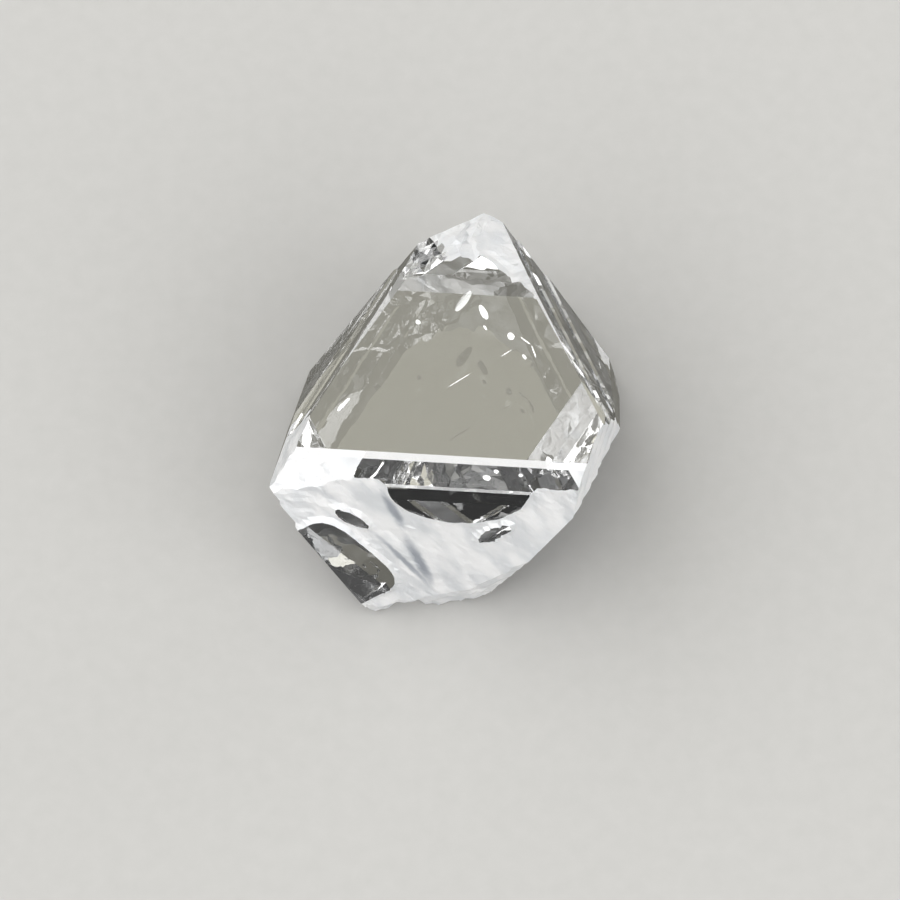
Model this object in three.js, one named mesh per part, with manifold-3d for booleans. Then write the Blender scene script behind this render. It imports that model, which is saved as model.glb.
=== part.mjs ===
// A rough diamond: an octahedral crystal with dodecahedral faces along its edges, lying on one of
// its octahedral faces. Its front is frosted but for clear windows, its corners are broken, its
// edges step down in growth layers, and its faces carry small triangular pits.
// Millimetres, +Z up. The origin is the bottom centre of the crystal's box.

import * as THREE from 'three';
import { mergeVertices } from 'three/addons/utils/BufferGeometryUtils.js';
import Module from 'manifold-3d';

const wasm = await Module();
wasm.setup();

// ---- Driving dimensions: millimetres and degrees, measured from the crystal's centre ----

const TOP = 1.9;                 // to the top face
const THICKNESS = 3.14;          // from the top face to the face that it lies on
const STOCK = 14;                // edge of the block that the crystal is cut from
const FINEST = 0.001;            // slivers that the cuts leave below this size are merged
const TURN = -93.94;             // azimuth of the front face's normal, from +X

// Each natural face: its crystal direction and its distance from the centre.
const FACES = {
  top: { along: [1, 1, 1], distance: TOP },
  bottom: { along: [-1, -1, -1], distance: THICKNESS - TOP },
  front: { along: [1, 1, -1], distance: 1.9 },
  right: { along: [-0.97, 1.04, 0.97], distance: 2.32 },
  left: { along: [1.06, -1, 0.93], distance: 1.93 },
  back: { along: [-1, -1, 1], distance: 2.4 },
  leftUnder: { along: [1, -1, -1], distance: 2.18 },
  rightUnder: { along: [-1, 1, -1], distance: 1.84 },
  topFrontEdge: { along: [1, 1, 0], distance: 2.18 },
  topFrontBevel: { along: [1, 1, 0.45], distance: 2.124 },
  lowFrontBevel: { along: [1, 1, -0.45], distance: 2.1325 },
  topLeftEdge: { along: [1, 0, 1], distance: 2.31 },
  topRightEdge: { along: [0, 1, 1], distance: 2.52 },
  leftBackEdge: { along: [0, -1, 1], distance: 2.165 },
  rightBackEdge: { along: [-1, 0, 1], distance: 2.53 },
  leftFrontEdge: { along: [1, 0, -1], distance: 2.5 },
  rightFrontEdge: { along: [0, 1, -1], distance: 2.3 },
  leftEdge: { along: [1, -1, 0], distance: 2.3 },
  leftShoulder: { along: [1, -1, 0.45], distance: 2.09 },
  rightEdge: { along: [-1, 1, 0], distance: 2.42 },
  rightShoulder: { along: [-1, 1, 0.45], distance: 2.41 },
  bottomBackEdge: { along: [-1, -1, 0], distance: 2.1 },
  bottomLeftEdge: { along: [0, -1, -1], distance: 1.98 },
  bottomRightEdge: { along: [-1, 0, -1], distance: 1.75 },
};

// Growth layers: each takes a strip off the edge between two faces, this deep under the first
// face and this deep under the second.
const LAYERS = [
  { faces: ['left', 'top'], depths: [[0.03, 0.8]] },
  { faces: ['right', 'top'], depths: [[0.035, 1.1], [0.07, 0.5]] },
  { faces: ['back', 'leftBackEdge'], depths: [[0.04, 0.3], [0.08, 0.12]] },
  { faces: ['back', 'rightBackEdge'], depths: [[0.05, 0.22]] },
  { faces: ['leftUnder', 'leftEdge'], depths: [[0.04, 0.35], [0.08, 0.14]] },
  { faces: ['rightUnder', 'rightEdge'], depths: [[0.05, 0.28]] },
];

// Breaks: fracture surfaces that cut off corners. Each passes through a point, with its outward
// normal's azimuth and tilt, and bows in from it by so much at 1 mm. Ribs spread over it, ring
// after ring, from the blow that made it.
const BREAKS = [
  {
    corner: 'top', azimuth: 94, tilt: 10, at: [0.3, 1.84, 1.9], bow: 0.03,
    ribs: 0.34, relief: 0.012, blow: [0.2, 1.1], grain: 0.005,
  },
  {
    corner: 'top left', azimuth: 118, tilt: 30, at: [-0.3, 2.06, 1.71], bow: 0,
    ribs: 0.3, relief: 0.012, blow: [0.4, -0.5], grain: 0.03,
  },
  {
    corner: 'top right', azimuth: 51, tilt: 17, at: [0.94, 1.53, 1.9], bow: 0,
    ribs: 0.3, relief: 0.012, blow: [-0.9, 0.6], grain: 0.01,
  },
  {
    corner: 'left', azimuth: -107, tilt: 51, at: [-1.42, -1.06, 1.9], bow: 0.04,
    ribs: 0.4, relief: 0.015, blow: [0.1, 1.2], grain: 0.005,
  },
  {
    corner: 'left rear', azimuth: 157, tilt: 69.6, at: [-1.82, -0.45, 1.9], bow: 0,
    ribs: 0.3, relief: 0.012, blow: [0.4, 0.8], grain: 0.005,
  },
  {
    corner: 'right', azimuth: -22, tilt: 87, at: [2.18, -0.62, 0.6], bow: 0,
    ribs: 0.36, relief: 0.02, blow: [0.5, 0.6], grain: 0.005,
  },
  {
    corner: 'right front', azimuth: -21, tilt: 84, at: [2.24, -0.96, 1.0], bow: 0.12,
    ribs: 0.3, relief: 0.02, blow: [-0.6, 0.3], grain: 0.005,
  },
  {
    corner: 'bottom', azimuth: -83, tilt: 98.6, at: [-0.4, -2.12, -0.9], bow: 0,
    ribs: 0.3, relief: 0.03, blow: [0.4, 0.6], grain: 0.005,
  },
  {
    corner: 'bottom right', azimuth: -72, tilt: 97, at: [0.3, -2.05, -1.1], bow: 0,
    ribs: 0.3, relief: 0.015, blow: [-0.5, 0.5], grain: 0.005,
  },
];
const BREAK_SIZE = 2.8;          // width of a break's cutter
const BREAK_GRID = 0.1;          // spacing of the points on a break
const SHAKE = 0.3;               // how far they are shaken out of their rows, in grid steps

// The front face is frosted: a thin rough skin is gone from it, but for windows where the clear
// face still stands. A window's reach is its half-width and half-height. Its power makes it an
// oval (2) or nearly four-sided (4). Its dome is as high as its rise over the face.
const SKIN = {
  face: 'front', size: 6, grid: 0.075, depth: 0.05,
  ribs: 0.33, relief: 0.006, blow: [-2.3, -1.3], grain: 0.005,
};
const WINDOWS = [
  { across: 0.26, towards: 1.12, reach: [0.97, 0.72], turn: 0, power: 2, rise: 0.25 },
  { across: -1.41, towards: -0.66, reach: [0.58, 0.86], turn: 40, power: 4, rise: 0.15 },
  { across: 0.77, towards: 0.2, reach: [0.28, 0.1], turn: 40, power: 2, rise: 0.1 },
  { across: -1.17, towards: 0.34, reach: [0.28, 0.09], turn: -35, power: 2, rise: 0.1 },
];

// Nicks: small shells broken out of the edges, each round a point just outside the crystal.
const NICKS = [
  { at: [-2.02, -0.22, 1.6], radius: 0.2 },
  { at: [-0.53, -2.3, -1.12], radius: 0.38 },
  { at: [2.42, 0.1, 1.05], radius: 0.22 },
];

// Growth pits: flat three-sided cones whose corners point at the neighbouring faces. Each is
// placed on its face, from the foot of the centre's normal: across, and towards a neighbour.
const PITS = [
  { face: 'back', across: -0.6, towards: 0.2, radius: 0.2, depth: 0.035 },
  { face: 'back', across: 0.25, towards: -0.35, radius: 0.13, depth: 0.025 },
  { face: 'back', across: 0.55, towards: 0.3, radius: 0.09, depth: 0.02 },
  { face: 'leftUnder', across: 0.3, towards: 0.25, radius: 0.18, depth: 0.03 },
  { face: 'leftUnder', across: -0.35, towards: -0.2, radius: 0.1, depth: 0.02 },
  { face: 'rightUnder', across: -0.2, towards: 0.3, radius: 0.16, depth: 0.03 },
  { face: 'rightUnder', across: 0.4, towards: -0.25, radius: 0.1, depth: 0.02 },
];

// ---- Solids ----

function solidOf(geometry) {
  const bare = geometry.clone();
  bare.deleteAttribute('normal');
  bare.deleteAttribute('uv');
  const merged = mergeVertices(bare, 1e-5);
  return new wasm.Manifold(new wasm.Mesh({
    numProp: 3,
    vertProperties: new Float32Array(merged.attributes.position.array),
    triVerts: new Uint32Array(merged.index.array),
  }));
}

// Turns crystal directions into the part's frame: the top face's normal goes to +Z,
// and the front face's normal to the azimuth TURN.
function crystalFrame() {
  const up = new THREE.Vector3(1, 1, 1).normalize();
  const front = new THREE.Vector3(1, 1, -1).projectOnPlane(up).normalize();
  const side = new THREE.Vector3().crossVectors(up, front);
  const standing = new THREE.Matrix4().makeBasis(front, side, up).transpose();
  const turned = new THREE.Matrix4().makeRotationZ(THREE.MathUtils.degToRad(TURN));
  return turned.multiply(standing);
}

const CRYSTAL = crystalFrame();
const UP = new THREE.Vector3(0, 0, 1);

function normalOf(name) {
  return new THREE.Vector3(...FACES[name].along).normalize().applyMatrix4(CRYSTAL);
}

// A block that takes away everything beyond a natural face, or beyond a layer under it.
function beyondFace(name, depth = 0) {
  const normal = normalOf(name);
  const distance = FACES[name].distance - depth;
  const block = new THREE.BoxGeometry(STOCK * 2, STOCK * 2, STOCK);
  block.translate(0, 0, STOCK / 2);
  block.applyQuaternion(new THREE.Quaternion().setFromUnitVectors(UP, normal));
  block.translate(normal.x * distance, normal.y * distance, normal.z * distance);
  return solidOf(block);
}

// A repeatable number from -1 to 1 for a point of a grid.
function speckle(column, row, seed) {
  const wave = Math.sin(column * 127.1 + row * 311.7 + seed * 74.7) * 43758.5453;
  return 2 * (wave - Math.floor(wave)) - 1;
}

// A block that stands on z = 0 with a rough underside: its points are shaken out of their grid
// and lifted by heightAt. Sharp-crested ribs in rings round the blow lie over that, and splinters.
function roughBlock({ size, grid, ribs, relief, blow, grain }, heightAt, seed) {
  const steps = Math.round(size / grid);
  const block = new THREE.BoxGeometry(size, size, size, steps, steps, 1);
  const points = block.attributes.position;
  for (let i = 0; i < points.count; i += 1) {
    if (points.getZ(i) < 0) {
      const column = Math.round(points.getX(i) / grid);
      const row = Math.round(points.getY(i) / grid);
      const x = points.getX(i) + SHAKE * grid * speckle(column, row, seed);
      const y = points.getY(i) + SHAKE * grid * speckle(row, column, seed + 0.5);
      const rings = Math.abs(Math.cos(Math.PI * Math.hypot(x - blow[0], y - blow[1]) / ribs));
      const splinter = grain * speckle(column, row, seed + 0.25);
      points.setXYZ(i, x, y, -size / 2 + heightAt(x, y) + relief * (2 * rings - 1) + splinter);
    }
  }
  return block.translate(0, 0, size / 2);
}

// Takes away a corner of the crystal.
function beyondBreak(corner, seed) {
  const surface = { size: BREAK_SIZE, grid: BREAK_GRID, ...corner };
  const block = roughBlock(surface, (x, y) => corner.bow * (x * x + y * y), seed);
  block.rotateY(THREE.MathUtils.degToRad(corner.tilt));
  block.rotateZ(THREE.MathUtils.degToRad(corner.azimuth));
  block.translate(...corner.at);
  return solidOf(block);
}

// Where a thing made at the origin, with its outside towards +Z, goes on a natural face: from the
// foot of the centre's normal, across, and towards the neighbouring face.
function onFace(face, across, towards) {
  const normal = normalOf(face);
  const [h, k, l] = FACES[face].along;
  const neighbour = new THREE.Vector3(h, k, -l).applyMatrix4(CRYSTAL).projectOnPlane(normal).normalize();
  const side = new THREE.Vector3().crossVectors(neighbour, normal);
  const place = new THREE.Matrix4().makeBasis(side, neighbour, normal);
  return place.multiply(new THREE.Matrix4().makeTranslation(across, towards, FACES[face].distance));
}

// How far the dome of a window stands over its face.
function domeHeight({ across, towards, reach, turn, power, rise }, x, y) {
  const angle = THREE.MathUtils.degToRad(turn);
  const wide = Math.cos(angle) * (x - across) + Math.sin(angle) * (y - towards);
  const high = Math.cos(angle) * (y - towards) - Math.sin(angle) * (x - across);
  return rise * (1 - (wide / reach[0]) ** power - (high / reach[1]) ** power);
}

// Takes the frosted skin off its face, outside the windows.
function frostedSkin() {
  const heightAt = (x, y) => Math.max(-SKIN.depth, ...WINDOWS.map((pane) => domeHeight(pane, x, y)));
  return solidOf(roughBlock(SKIN, heightAt, 0).applyMatrix4(onFace(SKIN.face, 0, 0)));
}

// A three-sided cone, point inward, sunk this deep in a face.
function pit({ face, across, towards, radius, depth }) {
  const cone = new THREE.ConeGeometry(2 * radius, 2 * depth, 3);
  cone.rotateX(-Math.PI / 2);
  return solidOf(cone.applyMatrix4(onFace(face, across, towards)));
}

let crystal = solidOf(new THREE.BoxGeometry(STOCK, STOCK, STOCK));
for (const name of Object.keys(FACES)) {
  crystal = crystal.subtract(beyondFace(name));
}
for (const { faces, depths } of LAYERS) {
  for (const [first, second] of depths) {
    const strip = beyondFace(faces[0], first).intersect(beyondFace(faces[1], second));
    crystal = crystal.subtract(strip);
  }
}
BREAKS.forEach((corner, i) => {
  crystal = crystal.subtract(beyondBreak(corner, i + 1));
});
for (const { at, radius } of NICKS) {
  const shell = new THREE.IcosahedronGeometry(radius, 1);
  shell.translate(...at);
  crystal = crystal.subtract(solidOf(shell));
}
for (const hollow of PITS) {
  crystal = crystal.subtract(pit(hollow));
}
crystal = crystal.subtract(frostedSkin()).asOriginal().simplify(FINEST);

// ---- The part ----

function geometryOf(solid) {
  const mesh = solid.getMesh();
  const geometry = new THREE.BufferGeometry();
  geometry.setAttribute('position', new THREE.BufferAttribute(new Float32Array(mesh.vertProperties), 3));
  geometry.setIndex(new THREE.BufferAttribute(new Uint32Array(mesh.triVerts), 1));
  return geometry;
}

const crystalGeometry = geometryOf(crystal);
crystalGeometry.computeBoundingBox();
const middle = crystalGeometry.boundingBox.getCenter(new THREE.Vector3());
const clear = new THREE.MeshStandardMaterial({ color: 0xdfe3e0, roughness: 0.05, metalness: 0 });
const diamond = new THREE.Mesh(crystalGeometry, clear);
diamond.name = 'rough_diamond';
diamond.position.set(-middle.x, -middle.y, THICKNESS - TOP);

const group = new THREE.Group();
group.add(diamond);

export default group;
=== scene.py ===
"""A rough diamond on a pale floor under soft light: its clear natural faces and its frosted,
broken corners. Everything is in metres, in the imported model's frame."""

import math

import bmesh
import bpy
from mathutils import Matrix, Vector


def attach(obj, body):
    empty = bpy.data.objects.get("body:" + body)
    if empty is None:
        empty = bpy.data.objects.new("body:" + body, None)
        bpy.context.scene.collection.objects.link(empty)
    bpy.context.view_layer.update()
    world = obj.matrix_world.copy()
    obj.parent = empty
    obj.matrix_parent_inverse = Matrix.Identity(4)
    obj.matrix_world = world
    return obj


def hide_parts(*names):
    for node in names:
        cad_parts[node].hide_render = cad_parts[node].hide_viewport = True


MM = 0.001

# ---- Camera: it looks down on the top face ----
AIM = Vector((0.008, -0.410, 1.170)) * MM
CAMERA_DISTANCE = 56 * MM
CAMERA_ELEVATION = math.radians(68.32)
CAMERA_ROLL = math.radians(-0.376)
SENSOR_WIDTH = 36                # this and the lens are in Blender's own millimetres
LENS = 160
CLIP_START = 1 * MM

# ---- Floor ----
FLOOR_HALF_WIDTH = 1.0
FLOOR_GAP = 0.01 * MM            # an air film: a stone never wets the surface that it lies on
FLOOR_COLOURS = ((0.43, 0.425, 0.41, 1), (0.47, 0.465, 0.45, 1))
FLOOR_ROUGHNESS = (0.8, 1.0)
FLOOR_SPECULAR = 0.1
PAPER_SIZE = 0.25 * MM           # the lumps of the floor's fine grain
PAPER_DEPTH = 0.004 * MM

# ---- Room ----
ROOM_COLOUR = (2.4, 2.4, 2.4, 1)       # radiance of the white room above the horizon
UNDER_COLOUR = (0.2, 0.195, 0.17, 1)   # and of the dark below it, which shows through the stone
HORIZON = (-0.02, 0.02)                # heights where the dark ends and the room begins

# Soft patches of the room: the way to each (x right, y back, z up), how far its middle and its
# edge reach in degrees, and its radiance. Where two overlap, the later one covers the earlier.
PATCHES = {
    "back wall": ((-0.09, 0.99, 0.14), (28, 60), (1.2, 1.2, 1.2, 1)),
    "viewer": ((-0.06, -0.65, 0.76), (14, 25), (0.04, 0.04, 0.04, 1)),
    "beside overhead": ((-0.13, 0.22, 0.97), (5, 9), (0.1, 0.1, 0.1, 1)),
    "high front": ((0.23, -0.27, 0.93), (5, 11), (0.2, 0.2, 0.2, 1)),
    "behind": ((0.18, 0.67, 0.72), (18, 28), (0.05, 0.05, 0.05, 1)),
    "low right": ((1.00, 0.05, 0.05), (14, 26), (0.1, 0.1, 0.1, 1)),
    "high right": ((0.57, 0.30, 0.77), (16, 28), (0.15, 0.15, 0.15, 1)),
    "overhead": ((0.0, 0.37, 0.93), (12, 22), (0.8, 0.78, 0.67, 1)),
    "front below": ((-0.25, -0.70, -0.67), (22, 38), (0.03, 0.03, 0.03, 1)),
    "back below": ((0.03, 0.98, -0.17), (8, 16), (0.03, 0.03, 0.03, 1)),
}

# ---- Which faces of the crystal are natural, and which are broken ----
CLEAR, FROSTED, GLASSY = range(3)      # the crystal's material slots
MERGE_DISTANCE = 1e-7            # corners nearer than this are one
NATURAL_AREA = 0.05 * MM * MM    # a plane that holds more than this area is a natural face
NORMAL_DIGITS = 2                # how finely the planes' normals are told apart
PLANE_STEP = 0.02 * MM           # and how finely their distances
PLANE_SLACK = PLANE_STEP / 4     # how far from its plane a natural face may be
PARALLEL = 0.9998                # and the cosine of how far it may be turned
CHIPPED_CORNER = Vector((-0.55, 1.6, 2.95)) * MM  # the middle of the glassy chips
CHIPPED_REACH = 0.55 * MM

# The narrow front band is frosted beyond its ends: a place (mm) and the way out of each.
BAND_WAY = Vector((-0.040, -0.576, 0.816))
BAND_SPREAD = math.cos(math.radians(22))
BAND_ENDS = {
    "left": ((-1.27, -1.42, 3.00), (-0.862, 0.432, 0.262)),
    "right": ((1.68, -1.60, 3.02), (0.87, 0.42, 0.25)),
}

# ---- Finishes ----
DIAMOND_IOR = 2.417
BOUNCES = 32                     # light is trapped for long in a stone of this index
NOISE_DETAIL = 2
FINE_NOISE_DETAIL = 3
NOISE_MIDDLE = (0.5, 0.5, 0.5)
NOISE_RANGE = (0.3, 0.7)         # between which most of a noise lies

CLEAR_COLOURS = ((0.985, 0.99, 0.985, 1), (1, 1, 1, 1))
SWELL_SIZE = 0.5 * MM
SWELL_DEPTH = 0.0015 * MM
HAZE_SIZE = 0.25 * MM
HAZE_RANGE = (0.5, 0.75)
HAZE_ROUGHNESS = (0, 0.03)

FROST_TRANSMISSION = 0.55
FRONT_WAY = Vector((-0.065, -0.941, 0.333))       # normal of the frosted front
GRAIN_WAY = Vector((1.02, -0.57, -1.42))          # along which the frost is drawn out
CLOUD_SIZE = Vector((0.6, 0.22, 0.3)) * MM
CLOUD_RANGE = (0.35, 0.65)
THIN_FROST = (0.86, 0.88, 0.90, 1)
THICK_FROST = (1, 1, 1, 1)
FROST_ROUGHNESS = (0.35, 0.6)
SPLINTER_SIZE = 0.045 * MM
SPLINTER_DEPTH = 0.006 * MM

RIPPLE_SIZE = 0.12 * MM
RIPPLE_DEPTH = 0.006 * MM
RIPPLE_RANGE = (0.4, 0.7)
RIPPLE_ROUGHNESS = (0.03, 0.2)

# Grey streaks in the frosted front: start, end and half-width (mm).
STREAKS = {
    "window to chin, upper": ((-0.97, -1.62, 2.81), (-0.58, -1.97, 1.90), 0.10),
    "window to chin, lower": ((-0.66, -1.93, 2.05), (-0.21, -2.42, 0.71), 0.12),
    "along the lower window": ((-1.16, -1.87, 2.08), (-0.14, -2.44, 0.66), 0.06),
}
STREAK_REACH = 0.3               # how far a streak reaches in and out of the surface (mm)
STREAK_FADE = (1, 0.3)           # shares of the way to its edge, where it ends and where it is full
STREAK_WOBBLE = 0.12 * MM
STREAK_WOBBLE_SIZE = 0.3 * MM
STREAK_COLOUR = (0.38, 0.41, 0.46, 1)

# Cracks inside, seen through the top face and the band: middle, length and width (mm), and
# heading and tilt (degrees).
FLECKS = {
    "rod": ((0.21, 1.10, 2.54), (0.38, 0.12), 54, -7),
    "drop": ((0.48, 0.93, 2.54), (0.24, 0.10), -65, 8),
    "bead": ((0.85, 0.57, 2.54), (0.12, 0.10), -60, 8),
    "dot": ((-0.42, 0.79, 2.54), (0.08, 0.07), -60, 8),
    "crumb": ((0.50, 0.70, 2.52), (0.09, 0.04), -55, 10),
    "hook, upper": ((1.05, 0.50, 2.54), (0.18, 0.03), -40, 10),
    "hook, lower": ((1.16, 0.34, 2.54), (0.20, 0.03), -72, 9),
    "hook, side": ((1.03, 0.26, 2.54), (0.09, 0.05), -55, 10),
    "feather": ((0.14, -0.08, 2.54), (0.38, 0.02), 33, 12),
    "feather, end": ((0.79, 0.32, 2.54), (0.20, 0.02), 33, 12),
    "spark": ((-1.43, -0.42, 2.54), (0.27, 0.07), 50, 12),
    "band glint": ((0.50, -1.49, 2.91), (0.12, 0.08), -19, 31),
    "band glint, upper": ((0.63, -1.42, 2.96), (0.08, 0.06), -19, 31),
    "band glint, right": ((0.96, -1.47, 2.94), (0.07, 0.05), -19, 31),
}
FLECK_THICKNESS = 0.004          # mm
FLECK_SUBDIVISIONS = 2
FLECK_COLOURS = ((0.9, 0.91, 0.9, 1), (1, 1, 1, 1))
FLECK_ROUGHNESS = (0.05, 0.2)

# The Mix node has sockets for every type of value: these are the ones for colours.
MIX_FIRST, MIX_SECOND, MIX_RESULT = 6, 7, 2


class NodeTree:
    """The nodes of a material or of the world."""

    def __init__(self, owner):
        owner.use_nodes = True
        self.nodes = owner.node_tree.nodes
        self.links = owner.node_tree.links

    def feed(self, node, inputs):
        """Gives each of these inputs another node's output, or a fixed value."""
        for name, value in inputs.items():
            if isinstance(value, bpy.types.NodeSocket):
                self.links.new(value, node.inputs[name])
            else:
                node.inputs[name].default_value = value

    def add(self, kind, inputs, **settings):
        """A new node with these inputs and settings."""
        node = self.nodes.new("ShaderNode" + kind)
        for name, value in settings.items():
            setattr(node, name, value)
        self.feed(node, inputs)
        return node

    def noise(self, place, size, detail=NOISE_DETAIL, output="Fac"):
        """Noise on the place of a point, with lumps of about this size."""
        inputs = {"Vector": place, "Scale": 1 / size, "Detail": detail}
        return self.add("TexNoise", inputs).outputs[output]

    def vector_math(self, operation, inputs, output="Vector"):
        return self.add("VectorMath", inputs, operation=operation).outputs[output]

    def framed(self, place, middle, rotation, size):
        """Places measured in a frame that lies at the middle, turned and scaled to this size."""
        inputs = {"Vector": place, "Location": middle, "Rotation": rotation, "Scale": size}
        return self.add("Mapping", inputs, vector_type="TEXTURE").outputs["Vector"]

    def map_range(self, value, source, target, interpolation="LINEAR"):
        inputs = {
            "Value": value,
            "From Min": source[0], "From Max": source[1],
            "To Min": target[0], "To Max": target[1],
        }
        node = self.add("MapRange", inputs, interpolation_type=interpolation)
        return node.outputs["Result"]

    def smooth_step(self, value, start, end):
        """Zero at the start and beyond it, one at the end and beyond it, smooth in between."""
        return self.map_range(value, (start, end), (0, 1), "SMOOTHSTEP")

    def blend_colour(self, factor, first, second):
        """The second colour where the factor is 1, and the first where it is 0."""
        inputs = {"Factor": factor, MIX_FIRST: first, MIX_SECOND: second}
        return self.add("Mix", inputs, data_type="RGBA").outputs[MIX_RESULT]

    def bump(self, height, depth):
        inputs = {"Height": height, "Strength": 1, "Distance": depth}
        return self.add("Bump", inputs).outputs["Normal"]


def new_material(name, inputs):
    """A material whose shader has these inputs; with its nodes, its shader and a point's place."""
    material = bpy.data.materials.new(name)
    tree = NodeTree(material)
    shader = tree.nodes["Principled BSDF"]
    tree.feed(shader, inputs)
    return material, tree, shader, tree.add("TexCoord", {}).outputs["Object"]


def clear_face_material():
    """Smooth natural faces, with the faint unevenness and haze of growth and etching."""
    inputs = {"IOR": DIAMOND_IOR, "Transmission Weight": 1}
    material, tree, shader, place = new_material("clear_face", inputs)
    swell = tree.noise(place, SWELL_SIZE)
    haze = tree.noise(place, HAZE_SIZE, FINE_NOISE_DETAIL)
    tree.feed(shader, {
        "Base Color": tree.blend_colour(haze, *CLEAR_COLOURS),
        "Roughness": tree.map_range(haze, HAZE_RANGE, HAZE_ROUGHNESS),
        "Normal": tree.bump(swell, SWELL_DEPTH),
    })
    return material


def turn_along(way, normal):
    """The rotation that takes X to the way and Z to the normal."""
    way = way.normalized()
    across = normal.cross(way).normalized()
    return Matrix((way, across, way.cross(across))).transposed().to_euler()


def streak_mask(tree, place):
    """One inside the streaks of the frosted front, fading to nothing at their edges."""
    wobble = tree.noise(place, STREAK_WOBBLE_SIZE, output="Color")
    centred = tree.vector_math("SUBTRACT", {0: wobble, 1: NOISE_MIDDLE})
    shift = tree.vector_math("SCALE", {0: centred, "Scale": STREAK_WOBBLE})
    moved = tree.vector_math("ADD", {0: place, 1: shift})
    mask = 0
    for start, end, half_width in STREAKS.values():
        way = Vector(end) - Vector(start)
        middle = (Vector(start) + Vector(end)) * MM / 2
        size = Vector((way.length / 2, half_width, STREAK_REACH)) * MM
        local = tree.framed(moved, middle, turn_along(way, FRONT_WAY), size)
        distance = tree.vector_math("LENGTH", {0: local}, "Value")
        inside = tree.smooth_step(distance, *STREAK_FADE)
        mask = tree.add("Math", {0: mask, 1: inside}, operation="MAXIMUM").outputs["Value"]
    return mask


def frosted_material():
    """Broken surfaces: white with fine splinters, in drawn-out clouds of more and less frost."""
    inputs = {"IOR": DIAMOND_IOR, "Transmission Weight": FROST_TRANSMISSION}
    material, tree, shader, place = new_material("frosted_break", inputs)
    drawn = tree.framed(place, (0, 0, 0), turn_along(GRAIN_WAY, FRONT_WAY), CLOUD_SIZE)
    clouds = tree.noise(drawn, 1)
    grain = tree.noise(place, SPLINTER_SIZE)
    frost = tree.blend_colour(tree.smooth_step(clouds, *CLOUD_RANGE), THIN_FROST, THICK_FROST)
    tree.feed(shader, {
        "Base Color": tree.blend_colour(streak_mask(tree, place), frost, STREAK_COLOUR),
        "Roughness": tree.map_range(clouds, CLOUD_RANGE, FROST_ROUGHNESS),
        "Normal": tree.bump(grain, SPLINTER_DEPTH),
    })
    return material


def glassy_material():
    """Broken surfaces that came away smooth: rippled, with a breath of frost."""
    inputs = {"IOR": DIAMOND_IOR, "Transmission Weight": 1}
    material, tree, shader, place = new_material("glassy_break", inputs)
    ripple = tree.noise(place, RIPPLE_SIZE)
    tree.feed(shader, {
        "Base Color": tree.blend_colour(ripple, *CLEAR_COLOURS),
        "Roughness": tree.map_range(ripple, RIPPLE_RANGE, RIPPLE_ROUGHNESS),
        "Normal": tree.bump(ripple, RIPPLE_DEPTH),
    })
    return material


def fleck_material():
    """Cracks inside: the air in them reflects all the light, like small blurred mirrors."""
    material, tree, shader, place = new_material("inner_crack", {"Metallic": 1})
    blotches = tree.noise(place, SPLINTER_SIZE)
    tree.feed(shader, {
        "Base Color": tree.blend_colour(blotches, *FLECK_COLOURS),
        "Roughness": tree.map_range(blotches, NOISE_RANGE, FLECK_ROUGHNESS),
    })
    return material


def floor_material():
    """Pale matt card with a faint fine grain."""
    inputs = {"Specular IOR Level": FLOOR_SPECULAR}
    material, tree, shader, place = new_material("pale_floor", inputs)
    grain = tree.noise(place, PAPER_SIZE, FINE_NOISE_DETAIL)
    tree.feed(shader, {
        "Base Color": tree.blend_colour(grain, *FLOOR_COLOURS),
        "Roughness": tree.map_range(grain, NOISE_RANGE, FLOOR_ROUGHNESS),
        "Normal": tree.bump(grain, PAPER_DEPTH),
    })
    return material


def link_object(name, data):
    piece = bpy.data.objects.new(name, data)
    bpy.context.scene.collection.objects.link(piece)
    return piece


def make_piece(name, mesh, *materials):
    """An object at the origin from a mesh, which is freed, and from its materials."""
    data = bpy.data.meshes.new(name)
    mesh.to_mesh(data)
    mesh.free()
    for material in materials:
        data.materials.append(material)
    return link_object(name, data)


def natural_planes(mesh):
    """The planes in which the mesh has a broad flat face: a normal and a distance for each."""
    sums = {}
    for face in mesh.faces:
        area = face.calc_area()
        distance = face.normal.dot(face.calc_center_median())
        heading = tuple(round(part, NORMAL_DIGITS) for part in face.normal)
        key = (heading, round(distance / PLANE_STEP))
        total, moment = sums.get(key, (Vector(), 0))
        sums[key] = (total + face.normal * area, moment + distance * area)
    return [
        (total.normalized(), moment / total.length)
        for total, moment in sums.values() if total.length > NATURAL_AREA
    ]


def is_natural(face, planes):
    """Whether a face lies in one of the natural planes."""
    place = face.calc_center_median()
    return any(
        face.normal.dot(normal) > PARALLEL and abs(normal.dot(place) - distance) < PLANE_SLACK
        for normal, distance in planes
    )


def finish_of(face, planes):
    """The material slot of a face: natural faces are clear, and broken ones frosted or glassy."""
    if is_natural(face, planes):
        return CLEAR
    chipped = (face.calc_center_median() - CHIPPED_CORNER).length < CHIPPED_REACH
    return GLASSY if chipped else FROSTED


def clear_band_faces(mesh):
    return [
        face for face in mesh.faces
        if face.material_index == CLEAR and face.normal.dot(BAND_WAY) > BAND_SPREAD
    ]


def frost_band_ends(mesh):
    """Cuts the clear faces of the front band at its ends, and frosts what lies beyond."""
    for place, way in BAND_ENDS.values():
        place, way = Vector(place) * MM, Vector(way)
        band = clear_band_faces(mesh)
        edges = {edge for face in band for edge in face.edges}
        corners = {vert for face in band for vert in face.verts}
        cut = [*band, *edges, *corners]
        bmesh.ops.bisect_plane(mesh, geom=cut, plane_co=place, plane_no=way)
        for face in clear_band_faces(mesh):
            if (face.calc_center_median() - place).dot(way) > 0:
                face.material_index = FROSTED


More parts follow.
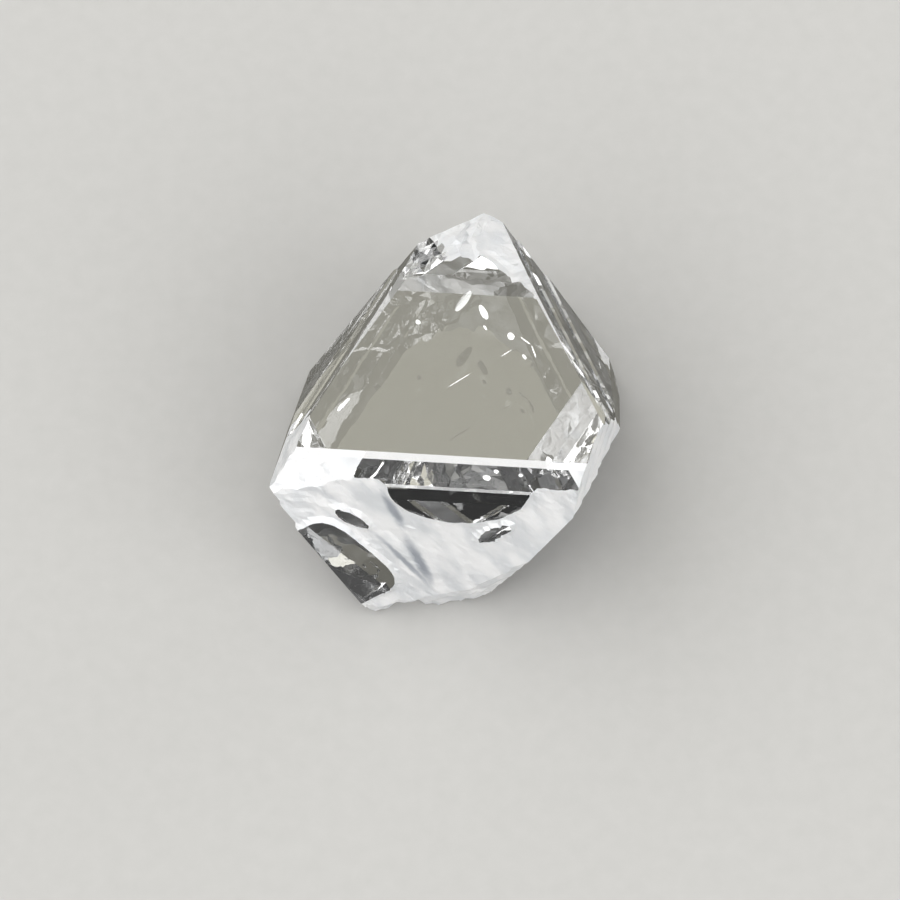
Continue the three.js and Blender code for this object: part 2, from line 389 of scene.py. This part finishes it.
def build_crystal(frame):
    """The crystal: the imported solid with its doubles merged, clear faces and frosted breaks."""
    mesh = bmesh.new()
    mesh.from_mesh(frame["nodes"]["rough_diamond"].data)
    bmesh.ops.remove_doubles(mesh, verts=mesh.verts, dist=MERGE_DISTANCE)
    planes = natural_planes(mesh)
    for face in mesh.faces:
        face.material_index = finish_of(face, planes)
    frost_band_ends(mesh)
    crystal = make_piece(
        "crystal", mesh, clear_face_material(), frosted_material(), glassy_material()
    )
    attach(crystal, "root")
    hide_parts("rough_diamond")


def build_flecks():
    """The cracks inside the crystal: thin lenses, each turned to its heading and tilt."""
    mesh = bmesh.new()
    for place, (length, width), heading, tilt in FLECKS.values():
        matrix = (
            Matrix.Translation(Vector(place) * MM)
            @ Matrix.Rotation(math.radians(heading), 4, "Z")
            @ Matrix.Rotation(math.radians(tilt), 4, "X")
            @ Matrix.Diagonal((*(Vector((length, width, FLECK_THICKNESS)) * MM / 2), 1))
        )
        bmesh.ops.create_icosphere(
            mesh, subdivisions=FLECK_SUBDIVISIONS, radius=1, matrix=matrix
        )
    cracks = make_piece("inner_cracks", mesh, fleck_material())
    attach(cracks, "root")


def build_floor():
    """The floor, which the stone neither shows nor mirrors: dark shows through it instead."""
    mesh = bmesh.new()
    bmesh.ops.create_grid(mesh, x_segments=1, y_segments=1, size=FLOOR_HALF_WIDTH)
    bmesh.ops.translate(mesh, verts=mesh.verts, vec=(0, 0, -FLOOR_GAP))
    floor = make_piece("floor", mesh, floor_material())
    floor.visible_transmission = False
    floor.visible_glossy = False


def place_camera():
    data = bpy.data.cameras.new("camera")
    data.sensor_width = SENSOR_WIDTH
    data.lens = LENS
    data.clip_start = CLIP_START
    camera = link_object("camera", data)
    camera.matrix_world = (
        Matrix.Translation(AIM)
        @ Matrix.Rotation(math.pi / 2 - CAMERA_ELEVATION, 4, "X")
        @ Matrix.Rotation(CAMERA_ROLL, 4, "Z")
        @ Matrix.Translation((0, 0, CAMERA_DISTANCE))
    )
    bpy.context.scene.camera = camera


def light_the_room():
    """A bright white room with darker soft patches above the horizon, and dark below it."""
    world = bpy.data.worlds.new("room")
    tree = NodeTree(world)
    direction = tree.add("TexCoord", {}).outputs["Generated"]
    height = tree.add("SeparateXYZ", {0: direction}).outputs["Z"]
    above = tree.smooth_step(height, *HORIZON)
    colour = tree.blend_colour(above, UNDER_COLOUR, ROOM_COLOUR)
    for way, reach, radiance in PATCHES.values():
        towards = {0: direction, 1: Vector(way).normalized()}
        closeness = tree.vector_math("DOT_PRODUCT", towards, "Value")
        middle, edge = (math.cos(math.radians(angle)) for angle in reach)
        inside = tree.smooth_step(closeness, edge, middle)
        colour = tree.blend_colour(inside, colour, radiance)
    tree.feed(tree.nodes["Background"], {"Color": colour})
    bpy.context.scene.world = world


def set_light_paths():
    """Lets light run long inside the stone, without the noise of caustics."""
    cycles = bpy.context.scene.cycles
    cycles.max_bounces = BOUNCES
    cycles.glossy_bounces = BOUNCES
    cycles.transmission_bounces = BOUNCES
    cycles.caustics_refractive = False
    cycles.caustics_reflective = False


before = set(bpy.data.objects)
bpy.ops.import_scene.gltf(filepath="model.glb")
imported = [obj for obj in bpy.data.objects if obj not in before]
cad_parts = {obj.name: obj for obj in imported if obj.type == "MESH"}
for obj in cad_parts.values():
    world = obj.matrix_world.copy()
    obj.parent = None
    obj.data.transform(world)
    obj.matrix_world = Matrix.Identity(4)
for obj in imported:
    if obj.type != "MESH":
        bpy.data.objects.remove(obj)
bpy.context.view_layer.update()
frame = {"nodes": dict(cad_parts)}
bpy.context.scene.view_settings.view_transform = "Standard"
place_camera()
light_the_room()
set_light_paths()
build_floor()
build_crystal(frame)
build_flecks()
